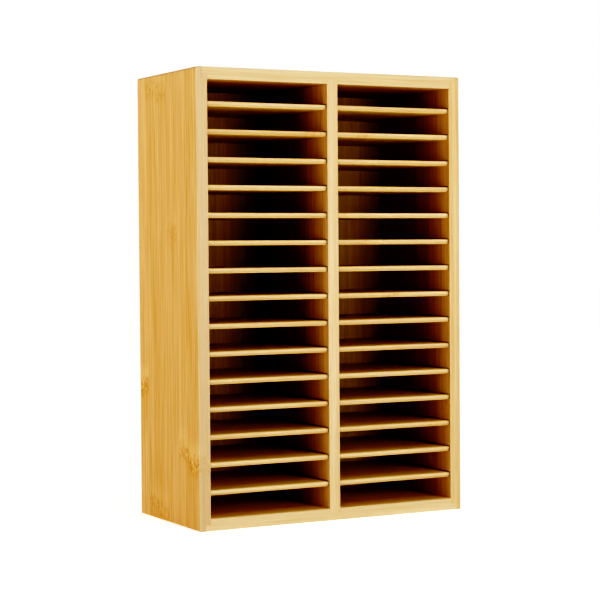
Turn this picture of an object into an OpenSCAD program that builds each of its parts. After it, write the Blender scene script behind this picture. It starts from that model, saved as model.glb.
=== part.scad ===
// Bamboo pen organizer: an open-fronted cabinet with two columns of thin shelves.
// The shelves slide into stopped grooves from the rear, and a pinned back panel shuts them in.
// Origin: middle of the base. +X is right seen from the front, +Y goes to the back, +Z is up.

/* [Cabinet] */
// Width over the side boards
cabinet_w = 300; // [200:1:400]
// Depth from the front edges to the rear face
cabinet_d = 145; // [100:1:220]
// Height over the top and bottom boards
cabinet_h = 450; // [360:1:600]
// Thickness of the side, top and bottom boards
board_t = 12; // [10:0.5:18]
// Radius of the long upper corners
top_corner_r = 2.5; // [0.5:0.1:4]
// Radius of the long lower corners
base_corner_r = 1.5; // [0.5:0.1:4]
// Radius of the eased front and rear edges of the boards
arris_r = 1; // [0.3:0.1:2]
// Radius that the eased front edges turn through at the corners of the openings
arris_turn = 2; // [1:0.5:4]

/* [Corner joints] */
// Length of the tongue at each end of the top and bottom boards
tongue_l = 6; // [3:0.5:8]
// Thickness of that tongue
tongue_t = 6; // [3:0.5:8]
// Gap left for glue at the end of a tongue and beside the divider
glue_gap = 0.1; // [0.05:0.05:0.3]

/* [Divider] */
// Thickness of the divider between the columns
divider_t = 12; // [9:0.5:18]
// Depth of the housings that hold its ends in the top and bottom boards
housing_d = 4; // [2:0.5:6]

/* [Shelves] */
// Slots in each column, one more than its shelves
slot_count = 16; // [8:1:24]
// How much lower the top slot is than the others
top_slot_less = 1.4; // [0:0.1:4]
// Thickness of a shelf, whose front edge is a full round
shelf_t = 5; // [3:0.5:8]
// Distance from the front edges of the boards back to the shelf noses
shelf_setback = 3.5; // [2:0.5:15]
// Depth of the shelf grooves in the sides and the divider
groove_d = 3; // [2:0.5:4]
// Distance from the shelf noses forward to the round ends of the grooves
groove_lead = 2; // [0.2:0.1:2.5]
// Height of a groove over the thickness of its shelf
groove_play = 1; // [0.2:0.1:1.5]
// Clearance of a shelf at its ends and before the back panel
shelf_fit = 0.3; // [0.1:0.05:0.5]

/* [Back panel] */
// Thickness of the back panel
back_t = 4; // [3:0.5:6]
// Width of the rebate that the panel lies in, on all four sides
rebate_w = 6; // [4:0.5:8]
// Clearance round the edges of the panel
back_fit = 0.2; // [0.1:0.05:0.5]

/* [Panel pins] */
// Diameter of a pin's shank
pin_d = 1.4; // [1:0.1:2]
// Length of a pin with its head
pin_l = 15; // [10:1:20]
// Diameter of a pin's head
pin_head_d = 2.8; // [2.2:0.1:4]
// Thickness of a pin's head
pin_head_t = 0.6; // [0.4:0.1:1]
// Clearance round a pin in its hole
pin_fit = 0.05; // [0.02:0.01:0.1]
// Pins up each side of the panel
side_pin_count = 5; // [3:1:8]
// Pins up the middle of the panel, into the divider
divider_pin_count = 3; // [2:1:6]

/* [Hidden] */
$fn = 64;
// How far a cutting shape runs past the faces that it cuts
over = 1;
bamboo = "#DDB05C";
bamboo_light = "#E8CD8F";
steel = "#B9B9B4";

// Space between the boards
inner_w = cabinet_w - 2 * board_t;
inner_h = cabinet_h - 2 * board_t;
front_y = -cabinet_d / 2;
rear_y = cabinet_d / 2;
panel_y = rear_y - back_t;

// Corner laps: the outer part of a side board runs past the end of the tongue
lap_w = board_t - tongue_l;
tongued_l = cabinet_w - 2 * lap_w - 2 * glue_gap;
housing_z = board_t - housing_d;

// Shelf layout, counted from the bottom of a column
shelf_count = slot_count - 1;
slot_h = (inner_h + top_slot_less - shelf_count * shelf_t) / slot_count;
pitch = slot_h + shelf_t;
column_w = (inner_w - divider_t) / 2;
column_x = (column_w + divider_t) / 2;
groove_h = shelf_t + groove_play;
shelf_l = column_w + 2 * (groove_d - shelf_fit);
nose_y = front_y + shelf_setback;

// Lower face of a shelf, and the middle height of a slot
function shelf_z(k) = board_t + k * pitch - shelf_t;
function slot_mid(k) = board_t + (k - 1) * pitch + slot_h / 2;

// Pins stand at the middle of a slot, clear of the grooves, spread evenly from the first slot to the last
function spread_slot(i, count, first, last) = round(first + i * (last - first) / (count - 1));
function pins_up(x, count, first, last) =
    [for (i = [0:count - 1]) [x, slot_mid(spread_slot(i, count, first, last))]];
pin_inset = rebate_w / 2;
side_pins = pins_up(inner_w / 2 + pin_inset, side_pin_count, 1, slot_count);
divider_pins = pins_up(0, divider_pin_count, 3, slot_count - 2);
rail_pins = [for (x = [-column_x, column_x]) [x, cabinet_h - board_t + pin_inset]];

// Names of the shelves, numbered from the bottom
function shelf_name(column, k) = str(column, "_shelf_", k < 10 ? "0" : "", k);
columns = [["left", -1], ["right", 1]];

// Rectangle from corner a to corner b, with the listed corners rounded:
// 0 is the corner at a, and the count goes round anticlockwise
module eased_rectangle(a, b, r, eased) {
    corners = [a, [b.x, a.y], b, [a.x, b.y]];
    inward = [[1, 1], [-1, 1], [-1, -1], [1, -1]];
    difference() {
        translate(a) square(b - a);
        for (i = eased) translate(corners[i] + (r - over) / 2 * inward[i]) square(r + over, center = true);
    }
    for (i = eased) translate(corners[i] + r * inward[i]) circle(r);
}

// What a quarter-round of radius r leaves off a corner at the origin whose material lies on +X and +Y of it
module arris_profile(r) {
    difference() {
        translate([-over, -over]) square(r + over);
        translate([r, r]) circle(r);
    }
}

// Quarter-round cutter along +Z, for an edge whose material lies on +X and +Y of it
module arris_cutter(length, r) {
    linear_extrude(length) arris_profile(r);
}

// The round-over that a router runs round the front of both openings once the boards are glued up
module opening_arrises() {
    straight_x = column_w / 2 - arris_turn;
    straight_z = inner_h / 2 - arris_turn;
    for (side = [-1, 1]) translate([side * column_x, front_y, cabinet_h / 2]) for (m = [0, 1]) {
        mirror([m, 0, 0]) translate([column_w / 2, 0, -straight_z]) arris_cutter(2 * straight_z, arris_r);
        mirror([0, 0, m]) translate([straight_x, 0, inner_h / 2]) rotate([0, -90, 0])
            arris_cutter(2 * straight_x, arris_r);
        for (n = [0, 1]) mirror([m, 0, 0]) mirror([0, 0, n])
            translate([straight_x, 0, straight_z]) rotate([-90, 0, 0])
                rotate_extrude() translate([arris_turn, 0]) arris_profile(arris_r);
    }
}

// A YZ outline extruded along X, centred on x = 0
module along_x(length) {
    translate([-length / 2, 0, 0]) rotate([90, 0, 90]) linear_extrude(length) children();
}

// Grooves for every shelf of a column, cut towards +X from x = 0: open at the rear, round at the front
module shelf_grooves() {
    front_end = nose_y - groove_lead + groove_h / 2;
    rotate([90, 0, 90]) linear_extrude(groove_d) for (k = [1:shelf_count]) {
        translate([front_end, shelf_z(k)]) square([rear_y - front_end + over, groove_h]);
        translate([front_end, shelf_z(k) + groove_h / 2]) circle(d = groove_h);
    }
}

// Space of the back panel and its rebate, open at the rear
module back_recess() {
    w = inner_w + 2 * rebate_w;
    h = inner_h + 2 * rebate_w;
    translate([-w / 2, panel_y, (cabinet_h - h) / 2]) cube([w, back_t + over, h]);
}

// Holes for pins driven in from the rear at the listed [x, z] places
module pin_holes(places) {
    for (p = places) translate([p.x, rear_y + over, p.y]) rotate([90, 0, 0])
        cylinder(d = pin_d + 2 * pin_fit, h = pin_l + pin_fit + over);
}

// Side board on the right: laps at both ends, grooves on the inner face, rebate at the rear
module side_board() {
    difference() {
        linear_extrude(cabinet_h)
            eased_rectangle([inner_w / 2, front_y], [cabinet_w / 2, rear_y], arris_r, [1, 2]);
        for (z = [tongue_t - cabinet_h, cabinet_h - tongue_t])
            translate([inner_w / 2 - over, front_y - over, z])
                cube([tongue_l + over, cabinet_d + 2 * over, cabinet_h]);
        side_end_rounding(base_corner_r);
        translate([0, 0, cabinet_h]) mirror([0, 0, 1]) side_end_rounding(top_corner_r);
        opening_arrises();
        translate([inner_w / 2, 0, 0]) shelf_grooves();
        back_recess();
        pin_holes(side_pins);
    }
}

// Rounding of the lower end of the right side board: its outer corner, and its front and rear edges
module side_end_rounding(r) {
    translate([cabinet_w / 2, rear_y + over, 0]) rotate([90, 0, 0]) mirror([1, 0, 0])
        arris_cutter(cabinet_d + 2 * over, r);
    for (m = [0, 1]) mirror([0, m, 0]) translate([inner_w / 2, front_y, 0]) rotate([90, 0, 90])
        arris_cutter(board_t + over, arris_r);
}

// Top board: a tongue at each end, a housing for the divider, rebate at the rear
module rail_board() {
    shoulder = (tongued_l - inner_w) / 2 + over;
    difference() {
        along_x(tongued_l)
            eased_rectangle([front_y, cabinet_h - board_t], [rear_y, cabinet_h], arris_r, [2, 3]);
        for (m = [0, 1]) mirror([m, 0, 0])
            translate([inner_w / 2, front_y - over, cabinet_h - board_t - over])
                cube([shoulder, cabinet_d + 2 * over, board_t - tongue_t + over]);
        opening_arrises();
        divider_space();
        back_recess();
        pin_holes(rail_pins);
    }
}

// Space of the divider with its glue gap, which cuts the housings
module divider_space() {
    w = divider_t + 2 * glue_gap;
    h = cabinet_h - 2 * housing_z;
    translate([-w / 2, front_y - over, housing_z]) cube([w, cabinet_d + 2 * over, h]);
}

module left_side() { color(bamboo) mirror([1, 0, 0]) side_board(); }

module right_side() { color(bamboo) side_board(); }

module top_board() { color(bamboo_light) rail_board(); }

module bottom_board() { color(bamboo_light) translate([0, 0, cabinet_h]) mirror([0, 0, 1]) rail_board(); }

// Divider: grooves on both faces, its ends in the housings, its rear edge against the back panel
module divider() {
    color(bamboo_light) difference() {
        translate([-divider_t / 2, front_y, housing_z])
            cube([divider_t, panel_y - front_y, cabinet_h - 2 * housing_z]);
        opening_arrises();
        for (m = [0, 1]) mirror([m, 0, 0]) translate([divider_t / 2 - groove_d, 0, 0]) shelf_grooves();
        pin_holes(divider_pins);
    }
}

// Shelf k of a column: a thin board with a full-round nose, resting on the floors of its grooves
module shelf(side, k) {
    r = shelf_t / 2;
    color(bamboo_light) translate([side * column_x, 0, shelf_z(k)]) along_x(shelf_l) {
        translate([nose_y + r, 0]) square([panel_y - shelf_fit - nose_y - r, shelf_t]);
        translate([nose_y + r, r]) circle(r);
    }
}

// Every pin's place, on both sides, the divider, and the top and bottom boards
all_pins = concat(
    side_pins, [for (p = side_pins) [-p.x, p.y]],
    divider_pins,
    rail_pins, [for (p = rail_pins) [p.x, cabinet_h - p.y]]
);

// Back panel with a hole and a head seat for each pin
module back_panel() {
    w = inner_w + 2 * (rebate_w - back_fit);
    h = inner_h + 2 * (rebate_w - back_fit);
    color(bamboo_light) difference() {
        translate([-w / 2, panel_y, (cabinet_h - h) / 2]) cube([w, back_t, h]);
        pin_holes(all_pins);
        for (p = all_pins) translate([p.x, rear_y + over, p.y]) rotate([90, 0, 0])
            cylinder(d = pin_head_d + 2 * pin_fit, h = pin_head_t + over);
    }
}

// Steel panel pins, driven from the rear until their heads are flush
module back_panel_pins() {
    color(steel) for (p = all_pins) translate([p.x, rear_y, p.y]) rotate([90, 0, 0]) {
        cylinder(d = pin_d, h = pin_l);
        cylinder(d = pin_head_d, h = pin_head_t);
    }
}

left_side();
right_side();
top_board();
bottom_board();
divider();
back_panel();
back_panel_pins();
for (c = columns, k = [1:shelf_count])
    shelf(c[1], k);
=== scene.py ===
"""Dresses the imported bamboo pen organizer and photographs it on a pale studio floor."""

import logging
import math
from dataclasses import dataclass, replace
from enum import Enum

import bpy
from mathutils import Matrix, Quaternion, Vector


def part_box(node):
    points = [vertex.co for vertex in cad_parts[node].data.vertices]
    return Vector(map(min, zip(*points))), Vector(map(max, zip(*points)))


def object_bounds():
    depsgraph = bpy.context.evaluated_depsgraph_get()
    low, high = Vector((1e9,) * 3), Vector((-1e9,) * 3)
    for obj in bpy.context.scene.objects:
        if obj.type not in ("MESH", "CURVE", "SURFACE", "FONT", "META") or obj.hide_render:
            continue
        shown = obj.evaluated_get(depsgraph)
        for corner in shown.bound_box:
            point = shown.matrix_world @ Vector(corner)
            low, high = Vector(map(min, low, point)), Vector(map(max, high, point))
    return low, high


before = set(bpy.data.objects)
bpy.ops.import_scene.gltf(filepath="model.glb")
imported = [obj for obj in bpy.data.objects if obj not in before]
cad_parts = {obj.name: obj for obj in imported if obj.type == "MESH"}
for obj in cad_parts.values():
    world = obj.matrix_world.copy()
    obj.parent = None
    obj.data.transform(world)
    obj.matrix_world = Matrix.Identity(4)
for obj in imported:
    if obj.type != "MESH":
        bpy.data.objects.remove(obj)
CAD_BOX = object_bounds()

LOG = logging.getLogger("pen_organizer")

Colour = tuple[float, float, float]
Point = tuple[float, float, float]
Socket = bpy.types.NodeSocket
Value = Socket | float
# Where an eased value is 0, and where it is 1
Span = tuple[float, float]
# Places along the grain, across the strips and through the plies
Grain = tuple[Socket, Socket, Socket]

WHITE = (1.0, 1.0, 1.0)
# Mean of the noises, of the random draws and of the listed tones
MIDDLE = 0.5
# A ply that is thicker than any board, so that the board counts as one
WHOLE_BOARD = 1.0


class Axis(Enum):
    """An axis of the cabinet's frame, as a place in a vector."""

    X = 0
    Y = 1
    Z = 2


class GrainLay(Enum):
    """How a board's bamboo lies: along the grain, across the strips, through the plies."""

    UPRIGHT = (Axis.Z, Axis.Y, Axis.X)
    LEVEL = (Axis.X, Axis.Y, Axis.Z)
    PANEL = (Axis.Z, Axis.X, Axis.Y)

    @property
    def along(self) -> int:
        """Place in a vector of the axis that the fibres follow."""
        return self.value[0].value

    @property
    def across(self) -> int:
        """Place in a vector of the axis from strip to strip on the broad face."""
        return self.value[1].value

    @property
    def through(self) -> int:
        """Place in a vector of the axis from ply to ply."""
        return self.value[2].value


class NodeSheet:
    """The shader nodes of one material, added and linked by short calls."""

    # Sockets of the Mix node that are for colours; its others are for numbers and vectors
    COLOURS_IN = slice(6, 8)
    COLOUR_OUT = 2

    def __init__(self, name: str) -> None:
        """Starts an empty material.

        Args:
            name: Name of the material.
        """
        self.material = bpy.data.materials.new(name)
        self.material.use_nodes = True
        self.tree = self.material.node_tree
        self.tree.nodes.clear()

    def node(self, kind: str, **settings: object) -> bpy.types.Node:
        """Adds a node.

        Args:
            kind: Blender's class name of the node, without its ShaderNode prefix.
            settings: Properties of the node to set.

        Returns:
            The new node.
        """
        made = self.tree.nodes.new("ShaderNode" + kind)
        for name, value in settings.items():
            setattr(made, name, value)
        return made

    def feed(self, socket: Socket, value: object) -> None:
        """Links a socket to another node's output, or sets its constant.

        Args:
            socket: Input to feed.
            value: Output to link it to, or a constant.
        """
        if isinstance(value, Socket):
            self.tree.links.new(value, socket)
        else:
            socket.default_value = value

    def math(self, operation: str, *values: Value) -> Socket:
        """Adds one step of arithmetic.

        Args:
            operation: Blender's name of the operation.
            values: Its operands.

        Returns:
            The result.
        """
        made = self.node("Math", operation=operation)
        for socket, value in zip(made.inputs, values):
            self.feed(socket, value)
        return made.outputs[0]

    def times(self, first: Value, second: Value) -> Socket:
        """Multiplies two values."""
        return self.math("MULTIPLY", first, second)

    def minus(self, first: Value, second: Value) -> Socket:
        """Takes the second value from the first."""
        return self.math("SUBTRACT", first, second)

    def times_plus(self, first: Value, second: Value, added: Value) -> Socket:
        """Multiplies two values and adds a third."""
        return self.math("MULTIPLY_ADD", first, second, added)

    def cell(self, value: Value, size: float) -> Socket:
        """Counts the whole cells of a size in a value."""
        return self.math("FLOOR", self.math("DIVIDE", value, size))

    def ramp(self, value: Value, low: float, high: float) -> Socket:
        """Eases a value from 0 at low to 1 at high, or the other way where low is above high.

        Args:
            value: Value to ease.
            low: Where the result is 0.
            high: Where the result is 1.

        Returns:
            The eased value, from 0 to 1.
        """
        made = self.node("MapRange", interpolation_type="SMOOTHSTEP")
        rising = low < high
        given = {
            "Value": value,
            "From Min": min(low, high),
            "From Max": max(low, high),
            "To Min": 0.0 if rising else 1.0,
            "To Max": 1.0 if rising else 0.0,
        }
        for name, setting in given.items():
            self.feed(made.inputs[name], setting)
        return made.outputs["Result"]

    def vector(self, x: Value, y: Value, z: Value) -> Socket:
        """Joins three values into a vector.

        Args:
            x: First value.
            y: Second value.
            z: Third value.

        Returns:
            The vector.
        """
        made = self.node("CombineXYZ")
        for socket, value in zip(made.inputs, (x, y, z)):
            self.feed(socket, value)
        return made.outputs[0]

    def split(self, vector: Socket) -> list[Socket]:
        """Splits a vector.

        Args:
            vector: Vector to split.

        Returns:
            Its X, Y and Z.
        """
        made = self.node("SeparateXYZ")
        self.feed(made.inputs[0], vector)
        return list(made.outputs)

    def channels(self, colour: Socket) -> list[Socket]:
        """Splits a colour.

        Args:
            colour: Colour to split.

        Returns:
            Its red, green and blue.
        """
        made = self.node("SeparateColor")
        self.feed(made.inputs[0], colour)
        return list(made.outputs)

    def noise(self, place: Socket, detail: float, roughness: float) -> Socket:
        """Adds smooth noise with cells of about 1 in the given space.

        Args:
            place: Where to read it.
            detail: Octaves of finer noise.
            roughness: Share of each finer octave.

        Returns:
            The noise, from 0 to 1 with a mean near a half.
        """
        made = self.node("TexNoise", noise_dimensions="3D")
        given = {"Vector": place, "Scale": 1.0, "Detail": detail, "Roughness": roughness}
        for name, setting in given.items():
            self.feed(made.inputs[name], setting)
        return made.outputs["Fac"]

    def chance(self, place: Socket) -> list[Socket]:
        """Draws three fixed random values for each place in a lattice.

        Args:
            place: Vector of whole numbers.

        Returns:
            Three values from 0 to 1.
        """
        draw = self.node("TexWhiteNoise", noise_dimensions="3D")
        self.feed(draw.inputs["Vector"], place)
        return self.channels(draw.outputs["Color"])

    def mix(self, share: Value, first: object, second: object, blend: str = "MIX") -> Socket:
        """Mixes two colours.

        Args:
            share: Share of the second colour.
            first: Colour, or output of one.
            second: Colour, or output of one.
            blend: Blender's name of the blend.

        Returns:
            The mixed colour.
        """
        made = self.node("Mix", data_type="RGBA", blend_type=blend)
        self.feed(made.inputs[0], share)
        for socket, value in zip(made.inputs[self.COLOURS_IN], (first, second)):
            self.feed(socket, (*value, 1.0) if isinstance(value, tuple) else value)
        return made.outputs[self.COLOUR_OUT]

    def tint(self, colour: Socket, second: Colour, where: Value, share: float) -> Socket:
        """Mixes a share of a second colour into a colour, where a mark says so."""
        return self.mix(self.times(where, share), colour, second)

    def surface(self, **inputs: object) -> None:
        """Adds the surface shader and the material's output.

        Args:
            inputs: Values or outputs for the shader's inputs, with underscores for spaces.
        """
        shader = self.node("BsdfPrincipled")
        for name, value in inputs.items():
            self.feed(shader.inputs[name.replace("_", " ")], value)
        self.tree.links.new(shader.outputs[0], self.node("OutputMaterial").inputs["Surface"])


@dataclass(frozen=True)
class Fibres:
    """One size of fibre in the bamboo: noise that is stretched along the grain.

    Attributes:
        along: Cells of the noise in a metre along the grain.
        across: Cells of the noise in a metre across it.
        detail: Octaves of finer noise.
        roughness: Share of each finer octave.
        share: Share of these fibres in the wood's tone.
    """

    along: float
    across: float
    detail: float = 1.0
    roughness: float = 0.5
    share: float = 0.0

    def read(self, sheet: NodeSheet, grain: Grain) -> Socket:
        """Reads the fibres at a place in the wood.

        Args:
            sheet: Material to add to.
            grain: Place in the wood.

        Returns:
            The noise, from 0 to 1 with a mean near a half.
        """
        scales = (self.along, self.across, self.across)
        scaled = (sheet.times(place, scale) for place, scale in zip(grain, scales))
        return sheet.noise(sheet.vector(*scaled), self.detail, self.roughness)


@dataclass(frozen=True)
class Strip:
    """What sets one listed strip apart: its first knuckle's height and strength, and its tone."""

    knuckle: float
    strength: float
    tone: float


@dataclass(frozen=True)
class Knuckles:
    """The marks that the cane's joints leave in a strip: flecks, a pale collar above and a deep tail below.

    Lengths are metres along the grain, from the joint. A span gives where a mark ends and where it is full.

    Attributes:
        period: Length from one joint of the cane to the next.
        least: Least strength that is drawn for a strip.
        spread: How far a drawn strength may lie above the least.
        wave: Waver of the joint across a strip.
        wave_reach: Length of that waver.
        band: Zone of the flecks, to either side of the joint.
        tail_fade: Lower end of the tail.
        tail_root: Upper end of the tail.
        tail_streaks: Streaks that the tail follows.
        collar_fade: Upper end of the collar.
        collar_root: Lower end of the collar.
        reach_power: How fast collars and tails fade with a strip's strength.
        reach_share: Share of a collar's or a tail's colour at full strength.
        scales: Size of the flecks.
        fleck: Noise that is a dark fleck.
        fleck_share: Share of the dark flecks' colour.
        glint: Noise that is a pale fleck.
        glint_share: Share of the pale flecks' colour.
        stain_share: Share of the deep stain below the flecks.
    """

    period: float = 0.42
    least: float = 0.15
    spread: float = 0.40
    wave: Fibres = Fibres(0.5, 210.0)
    wave_reach: float = 0.016
    band: Span = (0.0140, 0.0050)
    tail_fade: Span = (-0.060, -0.006)
    tail_root: Span = (0.006, -0.004)
    tail_streaks: Span = (0.66, 0.36)
    collar_fade: Span = (0.030, 0.008)
    collar_root: Span = (0.000, 0.008)
    reach_power: float = 1.5
    reach_share: float = 0.42
    scales: Fibres = Fibres(240.0, 330.0, detail=2.0, roughness=0.6)
    fleck: Span = (0.50, 0.36)
    fleck_share: float = 0.50
    glint: Span = (0.53, 0.66)
    glint_share: float = 0.48
    stain_share: float = 0.40


@dataclass(frozen=True)
class Lacquer:
    """The satin lacquer on the bamboo, and the relief of the wood below it."""

    roughness: float = 0.34
    fibre_roughness: float = 0.16
    specular: float = 0.16
    coat: float = 0.05
    coat_roughness: float = 0.25
    fibre_relief: float = 0.6
    relief_share: float = 0.18
    relief_depth: float = 0.0002

    def coat_over(
        self, sheet: NodeSheet, colour: Socket, fibre: Socket, thread: Socket, dents: tuple[Socket, ...]
    ) -> None:
        """Finishes a material with the lacquer.

        Args:
            sheet: Material to finish.
            colour: Colour of the wood.
            fibre: Fibres that stand up and dull the lacquer.
            thread: Finest fibres, which stand up as well.
            dents: Marks that lie lower than the wood.
        """
        relief = sheet.times_plus(fibre, self.fibre_relief, thread)
        for dent in dents:
            relief = sheet.minus(relief, dent)
        bump = sheet.node("Bump")
        given = {"Strength": self.relief_share, "Distance": self.relief_depth, "Height": relief}
        for name, setting in given.items():
            sheet.feed(bump.inputs[name], setting)
        sheet.surface(
            Base_Color=colour,
            Roughness=sheet.times_plus(fibre, self.fibre_roughness, self.roughness),
            Normal=bump.outputs[0],
            Specular_IOR_Level=self.specular,
            Coat_Weight=self.coat,
            Coat_Roughness=self.coat_roughness,
        )


@dataclass(frozen=True)
class BambooTones:
    """The colours of one batch of bamboo, as linear light."""

    face_pale: Colour
    face_deep: Colour
    edge_pale: Colour
    edge_deep: Colour
    tan: Colour = (0.74, 0.47, 0.21)
    end_grain: Colour = (0.50, 0.30, 0.10)
    fibre: Colour = (0.46, 0.23, 0.05)
    fleck: Colour = (0.44, 0.185, 0.02)
    knuckle_deep: Colour = (0.66, 0.32, 0.035)
    knuckle_pale: Colour = (0.88, 0.62, 0.26)


@dataclass(frozen=True)
class BambooFinish:
    """Lacquered laminated bamboo: strips side by side, in plies, each with its own tone and knuckles.

    Attributes:
        name: Name of the material.
        tones: Colours of the batch.
        lay: How the bamboo lies in the board.
        seed: Sets this board's random draws apart.
        strip_start: Place across the strips where the first one starts.
        ply_start: Place through the plies where the first one starts.
        strip_w: Width of a strip.
        ply_t: Thickness of a ply.
        hair: How far strips and plies start before a board's faces, which then never lie on a boundary.
        seam_w: Half the width of the glue line between two strips.
        seam_share: Share of the fibres' colour on that line.
        tone_base: Tone at the frame's origin, from 0 for deep to 1 for pale.
        tone_slope: Change of the tone for each metre along the grain.
        tone_spread: Share of a strip's own tone.
        strips: Values of each strip, or nothing where they are drawn.
        row_start: Height where the first row of shelves starts.
        row_pitch: Height of a row, or 0 where the piece isn't in a row.
        column_rows: Rows that set the draws of the two columns apart, more than a column has.
        grain_shift: Greatest length that a strip's fibres are moved along it.
        wander: How far fibres stray from straight lines.
        wander_scale: Strayings in a metre, along the grain and across it.
        band: Broadest fibres.
        streak: Broad fibres.
        fibre: Plain fibres.
        thread: Finest fibres.
        hue: Fibres that turn tan.
        tan_from: Noise where they turn.
        tan_share: Share of the tan.
        bundle_from: Noise where plain fibres lie in dark bundles.
        bundle_share: Share of the bundles' colour.
        edge_turn: How far a surface has to turn sideways to be an edge.
        end_turn: How far a surface has to turn along the grain to be an end.
        end_share: Share of the end grain's colour.
        painted_shade_turn: How far a rounded edge has to turn down to take the painted shade of its lower
            round.
        painted_shade_lower_round: Painted shade that darkens an edge's lower round, where less light reaches
            it from below.
        knuckles: Shape of the knuckles.
        edge_knuckles: Strength of the knuckles on edges.
        lacquer: Lacquer over the wood.
    """

    name: str
    tones: BambooTones
    lay: GrainLay
    seed: float
    strip_start: float
    ply_start: float = 0.0
    strip_w: float = 0.0245
    ply_t: float = 0.004
    hair: float = 0.00001
    seam_w: float = 0.00016
    seam_share: float = 0.25
    tone_base: float = 0.5
    tone_slope: float = 0.0
    tone_spread: float = 0.45
    strips: tuple[Strip, ...] = ()
    row_start: float = 0.0
    row_pitch: float = 0.0
    column_rows: float = 40.0
    grain_shift: float = 7.0
    wander: float = 0.0016
    wander_scale: tuple[float, float] = (7.0, 40.0)
    band: Fibres = Fibres(3.0, 110.0, share=0.6)
    streak: Fibres = Fibres(8.0, 300.0, detail=2.0, roughness=0.55, share=1.5)
    fibre: Fibres = Fibres(12.0, 700.0, detail=2.0, roughness=0.6, share=1.5)
    thread: Fibres = Fibres(25.0, 1700.0, share=0.8)
    hue: Fibres = Fibres(6.0, 230.0, detail=2.0)
    tan_from: Span = (0.46, 0.66)
    tan_share: float = 0.6
    bundle_from: Span = (0.60, 0.74)
    bundle_share: float = 0.22
    edge_turn: Span = (0.04, 0.28)
    end_turn: Span = (0.5, 0.9)
    end_share: float = 0.7
    painted_shade_turn: Span = (0.10, -0.45)
    painted_shade_lower_round: Colour = WHITE
    knuckles: Knuckles = Knuckles()
    edge_knuckles: float = 0.3
    lacquer: Lacquer = Lacquer()

    def material(self) -> bpy.types.Material:
        """Builds the material.

        Returns:
            The finished material.
        """
        sheet = NodeSheet(self.name)
        place = sheet.node("TexCoord")
        axes = sheet.split(place.outputs["Object"])
        normal = sheet.split(place.outputs["Normal"])
        along, across, through = (axes[axis.value] for axis in self.lay.value)

        from_strip = sheet.minus(across, self.strip_start - self.hair)
        strip = sheet.cell(from_strip, self.strip_w)
        ply = sheet.cell(sheet.minus(through, self.ply_start - self.hair), self.ply_t)
        draws = self._draws(sheet, axes, strip, ply)
        first_knuckle, presence, strip_tone = self._strip_values(sheet, strip, draws)

        grain = self._grain_space(sheet, (along, across, through), draws[1])
        streak, fibre, thread = (size.read(sheet, grain) for size in (self.streak, self.fibre, self.thread))
        tone = self._tone(
            sheet,
            along,
            (
                (strip_tone, self.tone_spread),
                (self.band.read(sheet, grain), self.band.share),
                (streak, self.streak.share),
                (fibre, self.fibre.share),
                (thread, self.thread.share),
            ),
        )
        edge = sheet.ramp(sheet.math("ABSOLUTE", normal[self.lay.across]), *self.edge_turn)
        seam = self._seam(sheet, from_strip)
        colour = self._plain_wood(sheet, tone, self.hue.read(sheet, grain), edge, normal)
        colour = sheet.tint(colour, self.tones.fibre, sheet.ramp(fibre, *self.bundle_from), self.bundle_share)
        colour = sheet.tint(colour, self.tones.fibre, seam, self.seam_share)

        strength = sheet.times(sheet.times_plus(edge, self.edge_knuckles - 1.0, 1.0), presence)
        from_joint = self._from_joint(sheet, grain, sheet.minus(along, first_knuckle))
        colour = self._collars_and_tails(sheet, colour, strength, from_joint, streak)
        colour, fleck = self._flecks(sheet, colour, strength, from_joint, grain)
        self.lacquer.coat_over(sheet, colour, fibre, thread, (seam, fleck))
        return sheet.material

    def _draws(self, sheet: NodeSheet, axes: list[Socket], strip: Socket, ply: Socket) -> list[Socket]:
        """Draws the random values of each strip of each ply, and of each shelf where the piece is in a row.

        Args:
            sheet: Material to add to.
            axes: Place in X, Y and Z.
            strip: Number of the strip.
            ply: Number of the ply.

        Returns:
            Random values for the tone, for the grain's shift and knuckles' strength, and for their height.
        """
        third: Value = self.seed
        if self.row_pitch:
            row = sheet.cell(sheet.minus(axes[Axis.Z.value], self.row_start), self.row_pitch)
            column = sheet.math("GREATER_THAN", axes[Axis.X.value], 0.0)
            third = sheet.math("ADD", sheet.times_plus(column, self.column_rows, row), self.seed)
        return sheet.chance(sheet.vector(strip, ply, third))

    def _strip_values(self, sheet: NodeSheet, strip: Socket, draws: list[Socket]) -> list[Socket]:
        """Finds what sets a strip apart: listed for each strip, or drawn.

        Args:
            sheet: Material to add to.
            strip: Number of the strip.
            draws: Random values of the strip.

        Returns:
            Height of its first knuckle in metres, strength of its knuckles, and its tone about a half.
        """
        if not self.strips:
            tone, strength, height = draws
            height = sheet.times(height, self.knuckles.period)
            return [height, sheet.times_plus(strength, self.knuckles.spread, self.knuckles.least), tone]
        count = len(self.strips)
        listed = sheet.node("ValToRGB")
        listed.color_ramp.interpolation = "CONSTANT"
        stops = listed.color_ramp.elements
        stops.remove(stops[1])
        for i, values in enumerate(self.strips):
            stop = stops[0] if i == 0 else stops.new(i / count)
            stop.color = (values.knuckle, values.strength, values.tone, 1.0)
        middle = sheet.math("ADD", strip, 0.5)
        sheet.feed(listed.inputs[0], sheet.math("DIVIDE", middle, float(count)))
        return sheet.channels(listed.outputs[0])

    def _grain_space(self, sheet: NodeSheet, grain: Grain, shift: Socket) -> Grain:
        """Moves each strip's fibres by a random length, and lets them wander a little.

        Args:
            sheet: Material to add to.
            grain: Place in the board.
            shift: Random value of the strip.

        Returns:
            Place in the wood, for reading the fibres.
        """
        along, across, through = grain
        moved = sheet.times_plus(shift, self.grain_shift, along)
        scaled = (sheet.times(part, scale) for part, scale in zip((moved, across), self.wander_scale))
        slow = sheet.noise(sheet.vector(*scaled, through), detail=1.0, roughness=0.5)
        stray = sheet.minus(slow, MIDDLE)
        return (
            moved,
            sheet.times_plus(stray, self.wander, across),
            sheet.times_plus(stray, self.wander, through),
        )

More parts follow.
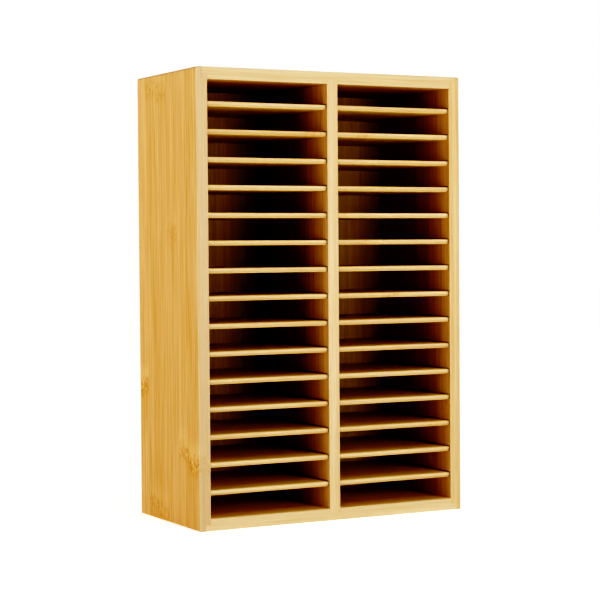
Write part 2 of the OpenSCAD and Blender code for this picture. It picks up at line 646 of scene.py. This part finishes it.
    def _tone(self, sheet: NodeSheet, along: Socket, parts: tuple[tuple[Socket, float], ...]) -> Socket:
        """Adds up the board's tone, which may change along it, a strip's own tone and its fibres.

        Args:
            sheet: Material to add to.
            along: Place along the grain.
            parts: Values about a half, each with its share.

        Returns:
            The tone, from 0 for deep to 1 for pale.
        """
        total = sheet.times_plus(along, self.tone_slope, self.tone_base)
        for part, share in parts:
            total = sheet.times_plus(sheet.minus(part, MIDDLE), share, total)
        return sheet.math("MINIMUM", sheet.math("MAXIMUM", total, 0.0), 1.0)

    def _seam(self, sheet: NodeSheet, from_strip: Socket) -> Socket:
        """Marks the glue lines between strips."""
        to_line = sheet.math("PINGPONG", from_strip, self.strip_w / 2)
        return sheet.ramp(to_line, 2 * self.seam_w, self.seam_w)

    def _plain_wood(
        self, sheet: NodeSheet, tone: Socket, hue: Socket, edge: Socket, normal: list[Socket]
    ) -> Socket:
        """Mixes the colour of the wood's faces, of its edges with painted shade on their lower rounds, and of
        its ends.

        Args:
            sheet: Material to add to.
            tone: Tone from deep to pale.
            hue: Fibres that turn tan.
            edge: 1 on an edge and 0 on a face.
            normal: Way that the surface faces, in X, Y and Z.

        Returns:
            The colour.
        """
        tones = self.tones
        face = sheet.mix(tone, tones.face_deep, tones.face_pale)
        face = sheet.tint(face, tones.tan, sheet.ramp(hue, *self.tan_from), self.tan_share)
        side = sheet.mix(tone, tones.edge_deep, tones.edge_pale)
        # Painted shade: the lower half of a rounded edge is darkened, where less light reaches it from below.
        below = sheet.ramp(normal[self.lay.through], *self.painted_shade_turn)
        side = sheet.mix(below, side, self.painted_shade_lower_round, "MULTIPLY")
        end = sheet.ramp(sheet.math("ABSOLUTE", normal[self.lay.along]), *self.end_turn)
        return sheet.tint(sheet.mix(edge, face, side), tones.end_grain, end, self.end_share)

    def _from_joint(self, sheet: NodeSheet, grain: Grain, from_first: Socket) -> Socket:
        """Measures along the grain from the nearest joint of the cane.

        Args:
            sheet: Material to add to.
            grain: Place in the wood, for reading the joint's waver.
            from_first: Place along the grain from the strip's first knuckle.

        Returns:
            Metres from the joint, above 0 on its upper side.
        """
        marks = self.knuckles
        nearest = sheet.math("WRAP", from_first, marks.period / 2, -marks.period / 2)
        waver = sheet.minus(marks.wave.read(sheet, grain), MIDDLE)
        return sheet.times_plus(waver, marks.wave_reach, nearest)

    def _collars_and_tails(
        self, sheet: NodeSheet, colour: Socket, strength: Socket, from_joint: Socket, streak: Socket
    ) -> Socket:
        """Paints the pale collar above each knuckle and the deep tail below it.

        Args:
            sheet: Material to add to.
            colour: Colour of the wood without them.
            strength: Strength of the knuckles.
            from_joint: Metres from the joint.
            streak: Broad fibres, which the tail follows.

        Returns:
            The colour with them.
        """
        marks = self.knuckles
        reach = sheet.times(sheet.math("POWER", strength, marks.reach_power), marks.reach_share)
        collar = sheet.times(
            sheet.ramp(from_joint, *marks.collar_fade), sheet.ramp(from_joint, *marks.collar_root)
        )
        tail = sheet.times(sheet.ramp(from_joint, *marks.tail_fade), sheet.ramp(from_joint, *marks.tail_root))
        tail = sheet.times(tail, sheet.ramp(streak, *marks.tail_streaks))
        colour = sheet.mix(sheet.times(collar, reach), colour, self.tones.knuckle_pale)
        return sheet.mix(sheet.times(tail, reach), colour, self.tones.knuckle_deep)

    def _flecks(
        self, sheet: NodeSheet, colour: Socket, strength: Socket, from_joint: Socket, grain: Grain
    ) -> tuple[Socket, Socket]:
        """Paints the stain and the dark and pale flecks of each knuckle.

        Args:
            sheet: Material to add to.
            colour: Colour of the wood without them.
            strength: Strength of the knuckles.
            from_joint: Metres from the joint.
            grain: Place in the wood, for reading the flecks.

        Returns:
            The colour with them, and the dark flecks alone.
        """
        marks, tones = self.knuckles, self.tones
        band = sheet.times(sheet.ramp(sheet.math("ABSOLUTE", from_joint), *marks.band), strength)
        scales = marks.scales.read(sheet, grain)
        fleck = sheet.times(sheet.ramp(scales, *marks.fleck), band)
        glint = sheet.times(sheet.ramp(scales, *marks.glint), band)
        colour = sheet.tint(colour, tones.knuckle_deep, sheet.times(band, strength), marks.stain_share)
        colour = sheet.tint(colour, tones.knuckle_pale, glint, marks.glint_share)
        return sheet.tint(colour, tones.fleck, fleck, marks.fleck_share), fleck


@dataclass(frozen=True)
class SteelFinish:
    """Bright drawn steel, dulled by handling."""

    name: str = "pin_steel_drawn"
    bright: Colour = (0.58, 0.57, 0.55)
    dull: Colour = (0.36, 0.35, 0.33)
    stains_per_metre: float = 1400.0
    stain_detail: float = 3.0
    stain_roughness: float = 0.6
    dull_from: Span = (0.35, 0.7)
    roughness: float = 0.25
    dull_roughness: float = 0.25

    def material(self) -> bpy.types.Material:
        """Builds the material.

        Returns:
            The finished material.
        """
        sheet = NodeSheet(self.name)
        spread = sheet.node("VectorMath", operation="SCALE")
        sheet.feed(spread.inputs[0], sheet.node("TexCoord").outputs["Object"])
        sheet.feed(spread.inputs["Scale"], self.stains_per_metre)
        stain = sheet.noise(spread.outputs[0], self.stain_detail, self.stain_roughness)
        sheet.surface(
            Base_Color=sheet.mix(sheet.ramp(stain, *self.dull_from), self.bright, self.dull),
            Roughness=sheet.times_plus(stain, self.dull_roughness, self.roughness),
            Metallic=1.0,
        )
        return sheet.material


@dataclass(frozen=True)
class Glow:
    """Light of the floor's own, which rises with the distance from the cabinet.

    Attributes:
        near: Strength at the cabinet.
        rise: Distances where it starts and ends its rise.
        far: Strength from there on.
    """

    near: float
    rise: Span
    far: float = 1.0

    def read(self, sheet: NodeSheet, distance: Socket) -> Socket:
        """Eases the glow from its strength at the cabinet to its strength far away."""
        return sheet.times_plus(sheet.ramp(distance, *self.rise), self.far - self.near, self.near)


@dataclass(frozen=True)
class FloorFinish:
    """Matt white studio floor with a glow, which is plain white to look at and lights the cabinet softly.

    Attributes:
        name: Name of the material.
        paint: Colour of the floor.
        roughness: Roughness of the paint.
        seen: Glow that is seen directly.
        lit_front: Glow that lights the cabinet from the floor before it.
        lit_rear: Glow that lights the cabinet from the floor behind it.
        front_to_rear: Where the one gives way to the other.
    """

    name: str = "studio_floor"
    paint: Colour = (0.90, 0.90, 0.90)
    roughness: float = 0.9
    seen: Glow = Glow(0.62, (0.4, 1.1))
    lit_front: Glow = Glow(0.30, (0.7, 3.6))
    lit_rear: Glow = Glow(0.60, (0.4, 1.1))
    front_to_rear: Span = (-0.20, 0.05)

    def material(self) -> bpy.types.Material:
        """Builds the material.

        Returns:
            The finished material.
        """
        sheet = NodeSheet(self.name)
        place = sheet.node("TexCoord").outputs["Object"]
        length = sheet.node("VectorMath", operation="LENGTH")
        sheet.feed(length.inputs[0], place)
        distance = length.outputs["Value"]
        seen = self.seen.read(sheet, distance)
        front = self.lit_front.read(sheet, distance)
        rear = self.lit_rear.read(sheet, distance)
        behind = sheet.ramp(sheet.split(place)[Axis.Y.value], *self.front_to_rear)
        lit = sheet.times_plus(behind, sheet.minus(rear, front), front)
        direct = sheet.node("LightPath").outputs["Is Camera Ray"]
        sheet.surface(
            Base_Color=(*self.paint, 1.0),
            Roughness=self.roughness,
            Emission_Color=(*WHITE, 1.0),
            Emission_Strength=sheet.times_plus(direct, sheet.minus(seen, lit), lit),
        )
        return sheet.material


def dress(node: str, material: bpy.types.Material) -> None:
    """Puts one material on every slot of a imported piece.

    Args:
        node: Name of the piece.
        material: Material to put on it.
    """
    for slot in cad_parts[node].material_slots:
        slot.material = material
    LOG.info("%s: %s", node, material.name)


BOARD_TONES = BambooTones(
    face_pale=(0.845, 0.572, 0.28),
    face_deep=(0.64, 0.352, 0.08),
    edge_pale=(0.84, 0.71, 0.45),
    edge_deep=(0.73, 0.54, 0.285),
)
LEFT_TONES = replace(BOARD_TONES, edge_pale=(0.77, 0.645, 0.43), edge_deep=(0.69, 0.53, 0.325))
DIVIDER_TONES = replace(BOARD_TONES, edge_pale=(0.86, 0.75, 0.51), edge_deep=(0.76, 0.60, 0.35))
TOP_TONES = replace(BOARD_TONES, edge_pale=(0.82, 0.715, 0.475), edge_deep=(0.72, 0.57, 0.325))
BOTTOM_TONES = BambooTones(
    face_pale=(0.92, 0.70, 0.34),
    face_deep=(0.80, 0.52, 0.16),
    edge_pale=(0.83, 0.735, 0.50),
    edge_deep=(0.74, 0.59, 0.35),
    tan=(0.82, 0.57, 0.25),
)


@dataclass(frozen=True)
class Board:
    """One board of the box: its node, its batch of bamboo, how that lies and the seed of its draws."""

    node: str
    tones: BambooTones
    lay: GrainLay
    seed: float

    def finish(self, ply_start: float) -> BambooFinish:
        """Chooses the board's bamboo, with strips from the cabinet's front.

        Args:
            ply_start: Place through the plies where the first one starts.

        Returns:
            The finish.
        """
        return BambooFinish(
            name=self.node + "_bamboo",
            tones=self.tones,
            lay=self.lay,
            seed=self.seed,
            strip_start=CAD_BOX[0].y,
            ply_start=ply_start,
        )


@dataclass
class Carcass:
    """The box: two sides, a top, a bottom and the divider, each from its own piece of board.

    Attributes:
        board_t: Thickness of the boards.
        left: Left side, whose strips are listed from its front edge.
        left_strips: Those strips.
        left_tone_base: Tone at the foot of the left side.
        left_tone_slope: Change of its tone for each metre up.
        others: Boards whose strips are drawn.
    """

    board_t: float = 0.012
    left: Board = Board("left_side", LEFT_TONES, GrainLay.UPRIGHT, seed=3.0)
    left_strips: tuple[Strip, ...] = (
        Strip(knuckle=0.064, strength=1.0, tone=0.55),
        Strip(knuckle=0.076, strength=0.7, tone=0.55),
        Strip(knuckle=0.290, strength=0.4, tone=0.45),
        Strip(knuckle=0.0115, strength=0.6, tone=0.45),
        Strip(knuckle=0.0155, strength=0.55, tone=0.50),
        Strip(knuckle=0.133, strength=0.95, tone=0.85),
    )
    left_tone_base: float = 0.07
    left_tone_slope: float = 1.6
    others: tuple[Board, ...] = (
        Board("right_side", BOARD_TONES, GrainLay.UPRIGHT, seed=11.0),
        Board("divider", DIVIDER_TONES, GrainLay.UPRIGHT, seed=19.0),
        Board("top_board", TOP_TONES, GrainLay.LEVEL, seed=27.0),
        Board("bottom_board", BOTTOM_TONES, GrainLay.LEVEL, seed=35.0),
    )

    def dress(self) -> None:
        """Puts bamboo on the five boards, with plies from each board's left or lower face."""
        left = replace(
            self.left.finish(CAD_BOX[0].x),
            strips=self.left_strips,
            tone_base=self.left_tone_base,
            tone_slope=self.left_tone_slope,
        )
        dress(self.left.node, left.material())
        ply_starts = {
            "right_side": CAD_BOX[1].x - self.board_t,
            "divider": -self.board_t / 2,
            "top_board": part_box("top_board")[0].z,
            "bottom_board": 0.0,
        }
        for board in self.others:
            dress(board.node, board.finish(ply_starts[board.node]).material())


@dataclass
class Shelves:
    """Two columns of thin bullnosed shelves, all dressed alike but drawn anew for each."""

    columns: tuple[str, str] = ("left", "right")
    per_column: int = 15
    seed: float = 5.0
    # The narrow turn keeps the cream to a band down the middle of each nose and gives its rounded flanks the
    # face's deeper orange: partly the real change from face to edge, partly painted shade of the light
    # falling off round the nose.
    edge_turn: Span = (0.45, 0.80)
    edge_knuckles: float = 1.0
    # Painted shade on the lower half of each nose, darker where less light reaches it from below.
    painted_shade_lower_round: Colour = (0.76, 0.71, 0.60)
    tones: BambooTones = BambooTones(
        face_pale=(0.92, 0.72, 0.33),
        face_deep=(0.82, 0.58, 0.21),
        edge_pale=(0.91, 0.78, 0.53),
        edge_deep=(0.80, 0.61, 0.35),
        tan=(0.82, 0.57, 0.25),
    )

    def dress(self) -> None:
        """Puts bamboo on every shelf."""
        first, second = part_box("left_shelf_01")[0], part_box("left_shelf_02")[0]
        pitch = second.z - first.z
        finish = BambooFinish(
            name="shelf_bamboo_strips",
            tones=self.tones,
            lay=GrainLay.LEVEL,
            seed=self.seed,
            strip_start=first.y,
            ply_t=WHOLE_BOARD,
            row_start=first.z - pitch / 2,
            row_pitch=pitch,
            edge_turn=self.edge_turn,
            edge_knuckles=self.edge_knuckles,
            painted_shade_lower_round=self.painted_shade_lower_round,
        )
        material = finish.material()
        for column in self.columns:
            for k in range(1, self.per_column + 1):
                dress(f"{column}_shelf_{k:02d}", material)


@dataclass
class Back:
    """The thin panel that closes the rear, its strips listed from the left with tones that also paint light
    and shade, and the pins that hold it.
    """

    seed: float = 43.0
    strip_w: float = 0.030
    # Listed tones, partly the strips' own and partly painted light and shade: paler towards each column's
    # right-hand corner, where the panel lies in shade, and deeper across the lit part to the left of it.
    strips: tuple[Strip, ...] = (
        Strip(knuckle=0.11, strength=0.35, tone=0.45),
        Strip(knuckle=0.33, strength=0.40, tone=0.25),
        Strip(knuckle=0.21, strength=0.30, tone=0.10),
        Strip(knuckle=0.05, strength=0.45, tone=0.08),
        Strip(knuckle=0.38, strength=0.30, tone=0.25),
        Strip(knuckle=0.16, strength=0.40, tone=0.60),
        Strip(knuckle=0.27, strength=0.35, tone=0.50),
        Strip(knuckle=0.08, strength=0.45, tone=0.75),
        Strip(knuckle=0.31, strength=0.30, tone=0.80),
        Strip(knuckle=0.19, strength=0.40, tone=0.90),
    )
    tone_spread: float = 1.0
    tones: BambooTones = BambooTones(
        face_pale=(0.78, 0.565, 0.20),
        face_deep=(0.62, 0.40, 0.12),
        edge_pale=(0.82, 0.62, 0.34),
        edge_deep=(0.68, 0.46, 0.20),
    )
    pin_finish: SteelFinish = SteelFinish()

    def dress(self) -> None:
        """Puts bamboo on the panel and steel on the pins."""
        finish = BambooFinish(
            name="back_bamboo_strips",
            tones=self.tones,
            lay=GrainLay.PANEL,
            seed=self.seed,
            strip_start=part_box("back_panel")[0].x,
            strip_w=self.strip_w,
            ply_t=WHOLE_BOARD,
            tone_spread=self.tone_spread,
            strips=self.strips,
        )
        dress("back_panel", finish.material())
        dress("back_panel_pins", self.pin_finish.material())


def facing(place: Point, aim: Point) -> Quaternion:
    """Finds the turn that points a light or a camera from its place to its aim."""
    return (Vector(aim) - Vector(place)).to_track_quat("-Z", "Y")


@dataclass(frozen=True)
class SoftBox:
    """A rectangular studio light."""

    name: str
    place: Point
    aim: Point
    width: float
    height: float
    watts: float

    def build(self) -> None:
        """Adds the light to the scene."""
        bpy.ops.object.light_add(type="AREA", location=self.place)
        light = bpy.context.object
        light.name = self.name
        light.data.shape = "RECTANGLE"
        light.data.size = self.width
        light.data.size_y = self.height
        light.data.energy = self.watts
        light.rotation_mode = "QUATERNION"
        light.rotation_quaternion = facing(self.place, self.aim)
        LOG.info("light %s: %.1f W", self.name, self.watts)


@dataclass
class Studio:
    """The pale floor, the soft lights, the white surround and the picture's tones.

    Attributes:
        floor_radius: Radius of the floor.
        floor_sides: Straight sides of its round rim.
        floor_rim: Width of the ring of faces along the rim.
        floor_drop: How far it lies below the cabinet, so that their faces don't coincide.
        finish: Finish of the floor.
        boxes: Soft lights.
        tone_curve: Linear light and the light that is shown for it, with a deep toe.
        combined_curve: Number of the curve that acts on all three colours.
    """

    floor_radius: float = 8.0
    floor_sides: int = 96
    floor_rim: float = 0.16
    floor_drop: float = 0.0002
    finish: FloorFinish = FloorFinish()
    boxes: tuple[SoftBox, ...] = (
        SoftBox("key_front_right", (0.275, -1.40, 0.28), (0.0, 0.0, 0.22), 0.44, 0.50, 7.3),
        SoftBox("front_high", (0.20, -1.15, 1.15), (0.0, 0.0, 0.22), 0.80, 0.50, 3.6),
        SoftBox("overhead", (0.0, -0.20, 2.00), (0.0, 0.0, 0.0), 1.60, 1.60, 21.6),
        SoftBox("fill_left", (-1.50, -0.25, 0.35), (-0.15, 0.0, 0.22), 0.80, 0.50, 5.8),
        SoftBox("rear_left", (-1.50, 0.15, 0.45), (-0.15, 0.0, 0.22), 0.60, 0.60, 2.2),
    )
    tone_curve: tuple[tuple[float, float], ...] = (
        (0.05, 0.001),
        (0.10, 0.009),
        (0.20, 0.085),
        (0.32, 0.220),
        (0.48, 0.430),
        (0.70, 0.690),
    )
    combined_curve: int = 3

    def build(self) -> None:
        """Builds the floor, the lights and the surround, and sets the tones of the picture."""
        self._build_floor()
        for box in self.boxes:
            box.build()
        self._build_surround()
        self._set_tones()

    def _build_floor(self) -> None:
        """Lays a wide disc under the cabinet."""
        bpy.ops.object.select_all(action="DESELECT")
        bpy.ops.mesh.primitive_circle_add(
            vertices=self.floor_sides,
            radius=self.floor_radius,
            fill_type="NGON",
            location=(0.0, 0.0, -self.floor_drop),
        )
        floor = bpy.context.object
        floor.name = "floor"
        bpy.ops.object.transform_apply(location=True, rotation=True, scale=True)
        bpy.ops.object.mode_set(mode="EDIT")
        bpy.ops.mesh.select_all(action="SELECT")
        bpy.ops.mesh.inset(thickness=self.floor_rim, depth=0.0)
        bpy.ops.object.mode_set(mode="OBJECT")
        floor.data.materials.append(self.finish.material())
        LOG.info("floor: %.1f m across", 2 * self.floor_radius)

    def _build_surround(self) -> None:
        """Sets the world: plain white to look at, with no light of its own on the cabinet."""
        world = bpy.data.worlds.new("surround")
        bpy.context.scene.world = world
        world.use_nodes = True
        nodes, links = world.node_tree.nodes, world.node_tree.links
        nodes.clear()
        shade = nodes.new("ShaderNodeBackground")
        shade.inputs["Color"].default_value = (*WHITE, 1.0)
        links.new(nodes.new("ShaderNodeLightPath").outputs["Is Camera Ray"], shade.inputs["Strength"])
        links.new(shade.outputs[0], nodes.new("ShaderNodeOutputWorld").inputs["Surface"])

    def _set_tones(self) -> None:
        """Sets a plain response with a deep toe, so that the slots fall to black."""
        view = bpy.context.scene.view_settings
        view.view_transform = "Standard"
        view.look = "None"
        view.use_curve_mapping = True
        curve = view.curve_mapping.curves[self.combined_curve]
        for given, shown in self.tone_curve:
            curve.points.new(given, shown)
        view.curve_mapping.update()


@dataclass(frozen=True)
class PhotoCamera:
    """The camera at the photograph's viewing angle."""

    place: Point = (-0.8744, -1.6431, 0.2765)
    aim: Point = (-0.0387, -0.0725, 0.2227)
    roll_deg: float = -0.437
    lens_mm: float = 107.5
    sensor_mm: float = 36.0

    def build(self) -> None:
        """Adds the camera and makes it the scene's own."""
        bpy.ops.object.camera_add(location=self.place)
        camera = bpy.context.object
        camera.name = "photo_camera"
        camera.data.lens = self.lens_mm
        camera.data.sensor_width = self.sensor_mm
        roll = Quaternion((0.0, 0.0, 1.0), math.radians(self.roll_deg))
        camera.rotation_mode = "QUATERNION"
        camera.rotation_quaternion = facing(self.place, self.aim) @ roll
        bpy.context.scene.camera = camera
        LOG.info("camera: %.1f mm lens", self.lens_mm)


def main() -> None:
    """Builds the studio and dresses the cabinet, part by part."""
    logging.basicConfig(level=logging.INFO, format="%(name)s: %(message)s")
    PhotoCamera().build()
    Studio().build()
    Carcass().dress()
    Shelves().dress()
    Back().dress()


if __name__ == "__main__":
    main()
